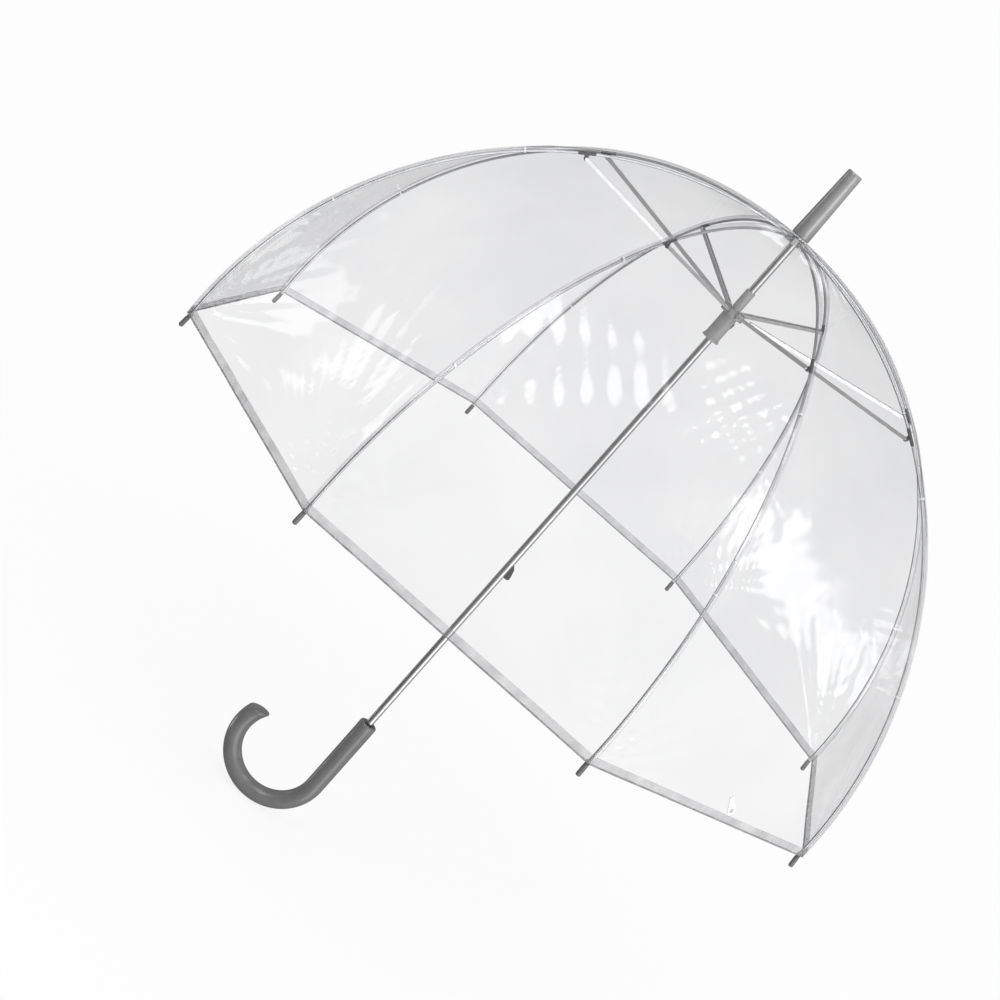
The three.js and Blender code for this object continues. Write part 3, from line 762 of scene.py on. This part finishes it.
def rib_middle(rib):
    path = arc(UPPER_END + FLEX_GAP, LOWER_FLEX - FLEX_GAP / 2, WIRE_STEPS["middle"])
    finish_rib_part(planar_sweep(f"rib_wire_{rib}_middle", path, wire_steel), rib, "middle")


def rib_lower(rib):
    path = arc(LOWER_FLEX + FLEX_GAP / 2, HEM, WIRE_STEPS["lower"])
    tail = Vector((math.sin(CAP_FLARE), 0, -math.cos(CAP_FLARE)))
    path += [path[-1] + tail * step * MM for step in TAIL_STEPS]
    finish_rib_part(planar_sweep(f"rib_wire_{rib}_lower", path, wire_steel), rib, "lower")


def clip_sleeve():
    """The pressed sleeve, crimped in two places."""
    half = CLIP_HALF_LENGTH / RIB_CURVE_RADIUS
    path = arc(CLIP - half, CLIP + half - SLEEVE_SPARE / RIB_CURVE_RADIUS, SLEEVE_STEPS)
    radii = [SLEEVE_END] + [SLEEVE_BODY] * 4 + [SLEEVE_GROOVE] + [SLEEVE_BODY] * 3
    radii += [SLEEVE_GROOVE] + [SLEEVE_BODY] * 4 + [SLEEVE_END]
    return planar_sweep("sleeve", path, dark_metal, sides=16, radii=radii)


def clip_neck():
    """The flat web between the sleeve and the ear, narrower towards the ear."""
    rows = []
    for i in range(NECK_ROWS):
        radius = RIB_CURVE_RADIUS - NECK_START - i * NECK_START
        width = (NECK_HALF_WIDTH - NECK_TAPER * i) * MM
        front = Vector((0, NECK_THICKNESS / 2, 0))
        rows.append([tuple(on_rib(CLIP + share * width / radius, radius) + front)
                     for share in (-1, -0.5, 0, 0.5, 1)])
    points = np.array(rows)
    normals = np.zeros_like(points)
    normals[..., 1] = 1
    return slab("neck", points, normals, np.full(points.shape[1], NECK_THICKNESS), dark_metal)


def stretcher_clip(rib):
    """The sleeve on the rib with the ear that the stretcher is riveted to."""
    pin = on_rib(CLIP, RIB_CURVE_RADIUS - CLIP_DROP)
    ear = ring_across("ear", pin, EAR_RADIUS, EAR_BORE, EAR_THICKNESS, dark_metal)
    rivet = lathe("rivet", in_mm(RIVET_PROFILE), wire_steel, sides=20, centre=pin, axis="Y")
    piece = join(f"stretcher_clip_{rib}", [clip_sleeve(), ear, clip_neck(), rivet])
    turn_to_rib(piece, rib)
    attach(piece, f"rib_{rib}_upper_part")


def tip_cap(rib):
    """The moulded cap on the rib's end and the pale eyelet that ties the hem's corner to it."""
    start = -CAP_START
    end = start - CAP_LENGTH
    profile = [
        (CAP_BORE, start - 1), (CAP_BORE, start), (CAP_RADIUS - 0.5, start),
        (CAP_NECK, start - 0.3), (CAP_RADIUS, start - 0.9), (CAP_NECK, start - 1.5),
        (CAP_NECK, start - 2.2), (CAP_RADIUS, start - 2.7),
        (CAP_RADIUS, end + 1.2), (CAP_NECK, end + 0.45),
        (CAP_RADIUS - 0.8, end), (0, end),
    ]
    cap = lathe("cap", in_mm(profile), cap_plastic, sides=28)
    eyelet = lathe("eyelet", in_mm(EYELET_PROFILE), pale_plastic, sides=24, close=True)
    piece = join(f"tip_{rib}", [cap, eyelet])
    piece.data.transform(Matrix.Rotation(-CAP_FLARE, 4, "Y"))
    piece.data.transform(Matrix.Translation((RIB_CURVE_RADIUS, 0, HUB_Z)))
    turn_to_rib(piece, rib)
    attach(piece, f"rib_{rib}_lower_part")
    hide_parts(f"tip_cap_{rib}")


def tie(rib, number, part, angle):
    """A flat loop that holds the film to the rib."""
    centre = on_rib(angle)
    outward = Vector((math.sin(angle), 0, math.cos(angle)))
    along = Vector((math.cos(angle), 0, -math.sin(angle)))
    sideways = Vector((0, 1, 0))
    points = []
    for cosine, sine in circle(TIE_STEPS):
        middle = centre + outward * (TIE_STAND + TIE_HALF_HEIGHT * cosine) + sideways * TIE_HALF_WIDTH * sine
        spoke = outward * cosine + sideways * sine
        for thick, broad in circle(TIE_SIDES):
            points.append(middle + spoke * thick * TIE_HALF_THICKNESS + along * broad * TIE_HALF_BREADTH)
    faces = grid_faces(TIE_STEPS, TIE_SIDES, wrap=True) + closing_faces(TIE_STEPS, TIE_SIDES)
    piece = new_object(f"rib_tie_{rib}_{number}", points, faces, white_plastic)
    turn_to_rib(piece, rib)
    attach(piece, f"rib_{rib}_{part}_part")


def build_ribs():
    for rib in range(1, RIB_COUNT + 1):
        rib_upper(rib)
        stretcher_clip(rib)
        rib_middle(rib)
        rib_lower(rib)
        tip_cap(rib)
        tie(rib, 1, "middle", TIES[0])
        tie(rib, 2, "lower", TIES[1])


# ---- Handle, ferrule and shaft ----

HANDLE_RADIUS = 9 * MM
HANDLE_TOP_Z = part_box("handle")[1].z
HANDLE_STRAIGHT = 83 * MM
HANDLE_SIDES = 40
HANDLE_RIM = 1.5 * MM
RIM_RINGS = 6
GRIP_STEPS = 16
HOOK_RADIUS = 46 * MM
HOOK_SWEEP = math.radians(208)
HOOK_CENTRE_Z = HANDLE_TOP_Z - HANDLE_STRAIGHT
HOOK_STEPS = 72
TIP_SLANT = 0.62  # how far the end runs on along the hook for each step towards the hook's inside
TIP_RINGS = 8
END_DISH_DEPTH = 0.5 * MM
END_DISH_RIM = 3 * MM
COUNTERSINK_RADIUS = 6.4 * MM
COUNTERSINK_DEPTH = 1.6 * MM
COUNTERSINK_EASE = 0.35 * MM
SOCKET_DEPTH = 30 * MM

FERRULE_TOP_RADIUS = 7.3 * MM
FERRULE_SOCKET = 25 * MM
FERRULE_FOOT_EASE = 0.9 * MM
TAPER_SHARES = (0.25, 0.5, 0.75, 0.97)
# The ferrule's top, in mm: inwards from its side and down from its height.
FERRULE_END = ((0, 1.1), (0.3, 0.35), (1.0, 0), (1.9, 0), (2.2, 0.35), (2.5, 0.9))
FERRULE_DISH = 1.1 * MM

SHAFT_WALL = 0.8 * MM
SHAFT_SIDES = 48
SLOT_SPARE = 2 * MM  # the slot beyond each end of its catch
SLOT_HALF_SIDES = 2  # how many of the tube's sides a slot takes up on each side of its middle


def build_handle():
    """The crook: a rounded rim, the straight grip, the hook, and an end cut at a slant."""
    path = []
    radii = []
    for i in range(RIM_RINGS):
        bend = math.pi / 2 * i / (RIM_RINGS - 1)
        path.append(Vector((0, 0, HANDLE_TOP_Z - HANDLE_RIM * (1 - math.cos(bend)))))
        radii.append(HANDLE_RADIUS - HANDLE_RIM * (1 - math.sin(bend)))
    for i in range(1, GRIP_STEPS + 1):
        drop = HANDLE_RIM + (HANDLE_STRAIGHT - HANDLE_RIM) * i / GRIP_STEPS
        path.append(Vector((0, 0, HANDLE_TOP_Z - drop)))
        radii.append(HANDLE_RADIUS)
    centre = Vector((-HOOK_RADIUS, 0, HOOK_CENTRE_Z))
    last_turn = HOOK_SWEEP - HANDLE_RIM / HOOK_RADIUS
    for i in range(1, HOOK_STEPS + 1):
        turn = last_turn * i / HOOK_STEPS
        path.append(centre + Vector((math.cos(turn), 0, -math.sin(turn))) * HOOK_RADIUS)
        radii.append(HANDLE_RADIUS)
    slant = [0.0] * (len(path) - TIP_RINGS)
    slant += [TIP_SLANT * (i + 1) / TIP_RINGS for i in range(TIP_RINGS)]
    along = (path[-1] - path[-2]).normalized()
    end = path[-1]
    for i in range(1, RIM_RINGS):
        bend = math.pi / 2 * i / (RIM_RINGS - 1)
        path.append(end + along * HANDLE_RIM * math.sin(bend))
        radii.append(HANDLE_RADIUS - HANDLE_RIM * (1 - math.cos(bend)))
        slant.append(TIP_SLANT)
    path.append(path[-1] - along * END_DISH_DEPTH)
    radii.append(HANDLE_RADIUS - END_DISH_RIM)
    slant.append(TIP_SLANT)
    piece = handle_skin(path, radii, slant)
    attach(piece, "frame")
    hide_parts("handle")


def handle_skin(path, radii, slant):
    """The crook's skin, with its recess at the top for the shaft and its end closed."""
    socket = SHAFT_RADIUS + SOCKET_GAP
    floor = HANDLE_TOP_Z - COUNTERSINK_DEPTH
    recess = [
        (socket, HANDLE_TOP_Z - SOCKET_DEPTH),
        (socket, floor - 0.4 * MM),
        (socket + 0.4 * MM, floor),
        (COUNTERSINK_RADIUS - 0.3 * MM, floor),
        (COUNTERSINK_RADIUS, floor + 0.3 * MM),
        (COUNTERSINK_RADIUS, HANDLE_TOP_Z - COUNTERSINK_EASE),
        (COUNTERSINK_RADIUS + COUNTERSINK_EASE, HANDLE_TOP_Z),
    ]
    points = []
    for radius, height in recess:
        for cosine, sine in circle(HANDLE_SIDES):
            points.append(Vector((-radius * cosine, radius * sine, height)))
    # Beyond the hook's last ring the end runs straight on.
    last_bend = len(path) - RIM_RINGS - 1
    for i, here in enumerate(path):
        middle = min(i, last_bend)
        before = path[max(middle - 1, 0)]
        after = path[middle + 1]
        along = (after - before).normalized() if i > 0 else Vector((0, 0, -1))
        across = Vector((along.z, 0, -along.x))
        for cosine, sine in circle(HANDLE_SIDES):
            offset = across * cosine + Vector((0, 1, 0)) * sine
            points.append(here + (offset + along * slant[i] * cosine) * radii[i])
    rings = len(recess) + len(path)
    return capped_rings("crook_handle", rings, HANDLE_SIDES, points, handle_grey, sharp_deg=45)


def build_ferrule():
    """The tapered ferrule, with a shallow dish in its top and a blind socket for the shaft."""
    low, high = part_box("ferrule")
    base = low.z
    top = high.z
    wide = (high.x - low.x) / 2
    slim = FERRULE_TOP_RADIUS
    socket = SHAFT_RADIUS + GAP
    ease = 0.25 * MM
    profile = [
        (0, base + FERRULE_SOCKET), (socket, base + FERRULE_SOCKET), (socket, base),
        (wide - FERRULE_FOOT_EASE, base), (wide - ease, base + ease), (wide, base + FERRULE_FOOT_EASE),
    ]
    profile += [(wide + (slim - wide) * share, base + (top - base) * share) for share in TAPER_SHARES]
    profile += [(slim - inwards * MM, top - down * MM) for inwards, down in FERRULE_END]
    profile.append((0, top - FERRULE_DISH))
    piece = lathe("ferrule_tip", profile, ferrule_grey, sides=64)
    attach(piece, "frame")
    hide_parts("ferrule")


def build_shaft():
    """The steel tube, with a slot for each catch."""
    low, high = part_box("shaft")
    slots = []
    for name in ("bottom_catch", "top_catch"):
        catch_low, catch_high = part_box(name)
        slots.append((catch_low.z - SLOT_SPARE, catch_high.z + SLOT_SPARE))
    heights = sorted([low.z, high.z] + [height for slot in slots for height in slot])
    points = []
    for radius in (SHAFT_RADIUS, SHAFT_RADIUS - SHAFT_WALL):
        for height in heights:
            points += [(radius * cosine, radius * sine, height) for cosine, sine in circle(SHAFT_SIDES)]
    sides = SHAFT_SIDES
    rows = len(heights)
    inner = rows * sides
    faces = []
    for i in range(rows - 1):
        cut = any(bottom - 1e-6 < heights[i] and heights[i + 1] < top + 1e-6 for bottom, top in slots)
        for j in range(sides):
            k = (j + 1) % sides
            if cut and (j < SLOT_HALF_SIDES or j >= sides - SLOT_HALF_SIDES):
                for row, flip in ((i, False), (i + 1, True)):
                    a, b = row * sides + j, row * sides + k
                    face = (a, b, inner + b, inner + a)
                    faces.append(face[::-1] if flip else face)
                continue
            a, b = i * sides + j, i * sides + k
            c, d = b + sides, a + sides
            faces.append((a, b, c, d))
            faces.append((inner + d, inner + c, inner + b, inner + a))
            if cut and j == SLOT_HALF_SIDES:
                faces.append((a, d, inner + d, inner + a))
            if cut and j == sides - SLOT_HALF_SIDES - 1:
                faces.append((c, b, inner + b, inner + c))
    top_row = (rows - 1) * sides
    for j in range(sides):
        k = (j + 1) % sides
        faces.append((k, j, inner + j, inner + k))
        faces.append((top_row + j, top_row + k, inner + top_row + k, inner + top_row + j))
    piece = new_object("shaft_tube", points, faces, bright_steel)
    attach(piece, "frame")
    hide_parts("shaft")


# ---- Closure tab ----

TAB_GORE = 3
TAB_LENGTH = 19 * MM
TAB_HALF_WIDTH = 3.5 * MM
TAB_HALF_NECK = 2 * MM
TAB_SHOULDER = (0.35, 0.6)  # where its sides slope in, as shares of its length
TAB_TIP = 0.92
TAB_FOOT_EASE = 0.5 * MM
TAB_TIP_EASE = 0.7 * MM
TAB_THICKNESS = 0.9 * MM
TAB_STAND = 1.3 * MM
TAB_FOOT = HEM_HEIGHT + 3 * MM
TAB_OFF_MIDDLE = 28 * MM
TAB_LEAN = math.radians(45)
TAB_ROWS = 16
TAB_COLUMNS = 7
STUD_ROW = 3
STUD_PROFILE = (
    (0, 1.1), (0.9, 1.0), (1.3, 0.75), (1.4, 0.4), (2.2, 0.35), (2.4, 0.1), (2.4, -0.2), (0, -0.2),
)


def tab_half_width(share):
    """Half the tab's width at a share of its length: wide at the foot, a sloping shoulder, then the neck."""
    start, end = TAB_SHOULDER
    if share < start:
        return TAB_HALF_WIDTH - TAB_FOOT_EASE * math.exp(-share * 30)
    if share < end:
        slope = 0.5 - 0.5 * math.cos(math.pi * (share - start) / (end - start))
        return TAB_HALF_WIDTH + (TAB_HALF_NECK - TAB_HALF_WIDTH) * slope
    return TAB_HALF_NECK - TAB_TIP_EASE * max(0, (share - TAB_TIP) / (1 - TAB_TIP)) ** 2


def build_tab():
    """The bottle-shaped tab that leans above the hem, with its press stud."""
    front = np.zeros((TAB_ROWS, TAB_COLUMNS, 3))
    normals = np.zeros_like(front)
    for i in range(TAB_ROWS):
        share = i / (TAB_ROWS - 1)
        half = tab_half_width(share)
        across_tab = np.linspace(-half, half, TAB_COLUMNS)
        up_tab = share * TAB_LENGTH
        rise = across_tab * math.sin(TAB_LEAN) + up_tab * math.cos(TAB_LEAN)
        along_hem = TAB_OFF_MIDDLE + across_tab * math.cos(TAB_LEAN) - up_tab * math.sin(TAB_LEAN)
        angles = HEM - (TAB_FOOT + rise) / FILM_RADIUS
        across = along_hem / (FILM_RADIUS * np.sin(angles) * math.sin(HALF_WEDGE))
        normals[i] = film_normals(TAB_GORE, angles, across)
        front[i] = film_points(TAB_GORE, angles, across) + normals[i] * TAB_STAND
    tab = slab("closure_tab_look", front, normals, np.full(TAB_COLUMNS, TAB_THICKNESS), white_plastic)
    stud = lathe("stud", in_mm(STUD_PROFILE), pale_plastic, sides=28)
    facing = Vector(normals[STUD_ROW, TAB_COLUMNS // 2])
    stud.data.transform(facing.to_track_quat("Z", "Y").to_matrix().to_4x4())
    stud.data.transform(Matrix.Translation(Vector(front[STUD_ROW, TAB_COLUMNS // 2])))
    piece = join("closure_tab_look", [tab, stud])
    rib = TAB_GORE + 1
    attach(piece, f"rib_{rib}_lower_part")
    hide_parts("closure_tab")
    gather(piece)


# ---- Carried-over CAD nodes ----

CAD_LOOKS = {
    "apex_washer": pale_plastic,
    "top_notch": pale_plastic,
    "notch_wire": bright_steel,
    "runner_wire": bright_steel,
    "stop_collar": collar_plastic,
    "runner": runner_plastic,
    "top_catch": dark_metal,
    "bottom_catch": dark_metal,
}


def dress_cad_nodes():
    looks = dict(CAD_LOOKS)
    for rib in range(1, RIB_COUNT + 1):
        looks[f"stretcher_{rib}"] = stretcher_steel
    for name, material in looks.items():
        nodes[name].data.materials.clear()
        nodes[name].data.materials.append(material)


# ---- Room ----

HUB = Vector((0, 0, HUB_Z))
CAMERA_ELEVATION = math.radians(14.25)
CAMERA_DISTANCE = 1.951
CAMERA_ROLL = math.radians(41.18)
CAMERA_LENS = 76.2
CAMERA_SENSOR = 36
AIM = HUB + Vector((-0.0462, 0, 0.0230))

BACKDROP = (0.985, 0.985, 0.985, 1)
STUDIO_BRIGHT_DEG = 55
STUDIO_EDGE = -0.1  # cosine of the angle from the bright side at which the studio is darkest
STUDIO_DARK = 0.19
STUDIO_BRIGHT = 1.0
CEILING = 0.45

LIGHT_DISTANCE = 2.6
LIGHTS_ABOVE_HUB = 0.1

# Soft boxes: azimuth (0 towards the camera, 90 to its right), elevation, width and height in degrees, and
# brightness.
SOFT_BOXES = (
    ("window_box", -30, 41, 24, 44, 3.2),
    ("overhead_box", 45, 72, 14, 10, 3.2),
    ("hook_box", 25, 48, 10, 12, 9.0),
    ("left_glow", -97, 3, 15, 14, 1.8),
    ("left_box", -98, -34, 20, 9, 4.0),
    ("left_strip", -105, -10, 9, 60, 0.8),
    ("right_box", 103, 20, 7, 8, 1.9),
    ("right_strip", 119, 15, 6, 16, 3.0),
    ("side_box", 46, -14, 34, 60, 2.1),
    ("top_box", 178, 33, 14, 6, 1.8),
)

FLOOR_RADIUS = 1.6
FLOOR_SIDES = 96
FLOOR_Z = -0.4 * MM
FLOOR_FADE = (0.25, 1.1)  # where the floor starts to turn clear and where it is clear
FLOOR_COLOUR = (0.94, 0.94, 0.94, 1)
FLOOR_GLOW = 0.85


def build_camera():
    data = bpy.data.cameras.new("camera")
    data.lens = CAMERA_LENS
    data.sensor_width = CAMERA_SENSOR
    camera = link(bpy.data.objects.new("camera", data))
    back = Vector((0, -math.cos(CAMERA_ELEVATION), math.sin(CAMERA_ELEVATION)))
    camera.location = HUB + back * CAMERA_DISTANCE
    forward = (AIM - camera.location).normalized()
    right = forward.cross(Vector((0, 0, 1))).normalized()
    up = right.cross(forward)
    rolled_right = right * math.cos(CAMERA_ROLL) + up * math.sin(CAMERA_ROLL)
    rolled_up = up * math.cos(CAMERA_ROLL) - right * math.sin(CAMERA_ROLL)
    turn = Matrix((rolled_right, rolled_up, -forward)).transposed()
    camera.rotation_mode = "QUATERNION"
    camera.rotation_quaternion = turn.to_quaternion()
    bpy.context.scene.camera = camera


def build_world():
    """White behind the object. The light comes from a grey studio, brighter to one side and above."""
    world = bpy.data.worlds.new("studio")
    bpy.context.scene.world = world
    tree = blank_tree(world)
    direction = add_node(tree, "ShaderNodeTexCoord", {}, "Generated")
    towards = tree.nodes.new("ShaderNodeVectorMath")
    towards.operation = "DOT_PRODUCT"
    bright_side = math.radians(STUDIO_BRIGHT_DEG)
    towards.inputs[1].default_value = (math.sin(bright_side), -math.cos(bright_side), 0)
    tree.links.new(direction, towards.inputs[0])
    side_light = map_range(tree, towards.outputs["Value"], STUDIO_EDGE, 1.0, STUDIO_DARK, STUDIO_BRIGHT)
    upwards = add_node(tree, "ShaderNodeSeparateXYZ", {"Vector": direction}, "Z")
    ceiling = map_range(tree, upwards, 0.0, 1.0, 0.0, CEILING, "LINEAR")
    studio = add_node(tree, "ShaderNodeBackground", {"Color": maths(tree, "ADD", side_light, ceiling)})
    backdrop = add_node(tree, "ShaderNodeBackground", {"Color": BACKDROP})
    seen = add_node(tree, "ShaderNodeLightPath", {}, "Is Camera Ray")
    show(tree, "ShaderNodeOutputWorld", mix_shaders(tree, seen, studio, backdrop))


def build_lights():
    middle = HUB + Vector((0, 0, LIGHTS_ABOVE_HUB))
    for name, azimuth, elevation, width, height, brightness in SOFT_BOXES:
        turn = math.radians(azimuth)
        rise = math.radians(elevation)
        back = Vector((math.sin(turn) * math.cos(rise), -math.cos(turn) * math.cos(rise), math.sin(rise)))
        data = bpy.data.lights.new(name, "AREA")
        data.shape = "RECTANGLE"
        data.size = 2 * LIGHT_DISTANCE * math.tan(math.radians(width / 2))
        data.size_y = 2 * LIGHT_DISTANCE * math.tan(math.radians(height / 2))
        data.energy = brightness * math.pi * data.size * data.size_y
        light = link(bpy.data.objects.new(name, data))
        light.location = middle + back * LIGHT_DISTANCE
        light.rotation_mode = "QUATERNION"
        light.rotation_quaternion = back.to_track_quat("Z", "Y")


def floor_material():
    """Pale paper that fades away into the backdrop."""
    material = bpy.data.materials.new("floor_look")
    tree = blank_tree(material)
    reach = tree.nodes.new("ShaderNodeVectorMath")
    reach.operation = "LENGTH"
    tree.links.new(add_node(tree, "ShaderNodeTexCoord", {}, "Object"), reach.inputs[0])
    fade = map_range(tree, reach.outputs["Value"], *FLOOR_FADE)
    matt = add_node(tree, "ShaderNodeBsdfDiffuse", {"Color": FLOOR_COLOUR})
    glow = add_node(tree, "ShaderNodeEmission", {"Color": BACKDROP})
    clear = add_node(tree, "ShaderNodeBsdfTransparent", {})
    paper = mix_shaders(tree, FLOOR_GLOW, matt, glow)
    show(tree, "ShaderNodeOutputMaterial", mix_shaders(tree, fade, paper, clear))
    return material


def build_floor():
    """A round pale floor under the object."""
    points = [(0, 0, FLOOR_Z)]
    for radius in (FLOOR_RADIUS / 2, FLOOR_RADIUS):
        points += [(radius * cosine, radius * sine, FLOOR_Z) for cosine, sine in circle(FLOOR_SIDES)]
    faces = [(0, 1 + j, 1 + (j + 1) % FLOOR_SIDES) for j in range(FLOOR_SIDES)]
    faces += grid_faces(2, FLOOR_SIDES, wrap=True, start=1)
    floor = new_object("floor", points, faces, floor_material())
    floor.visible_glossy = False


build_camera()
build_world()
build_lights()
build_floor()
build_film()
build_ribs()
build_handle()
build_ferrule()
build_shaft()
build_tab()
dress_cad_nodes()

scene = bpy.context.scene
scene.view_settings.view_transform = "Standard"
scene.cycles.transparent_max_bounces = 64
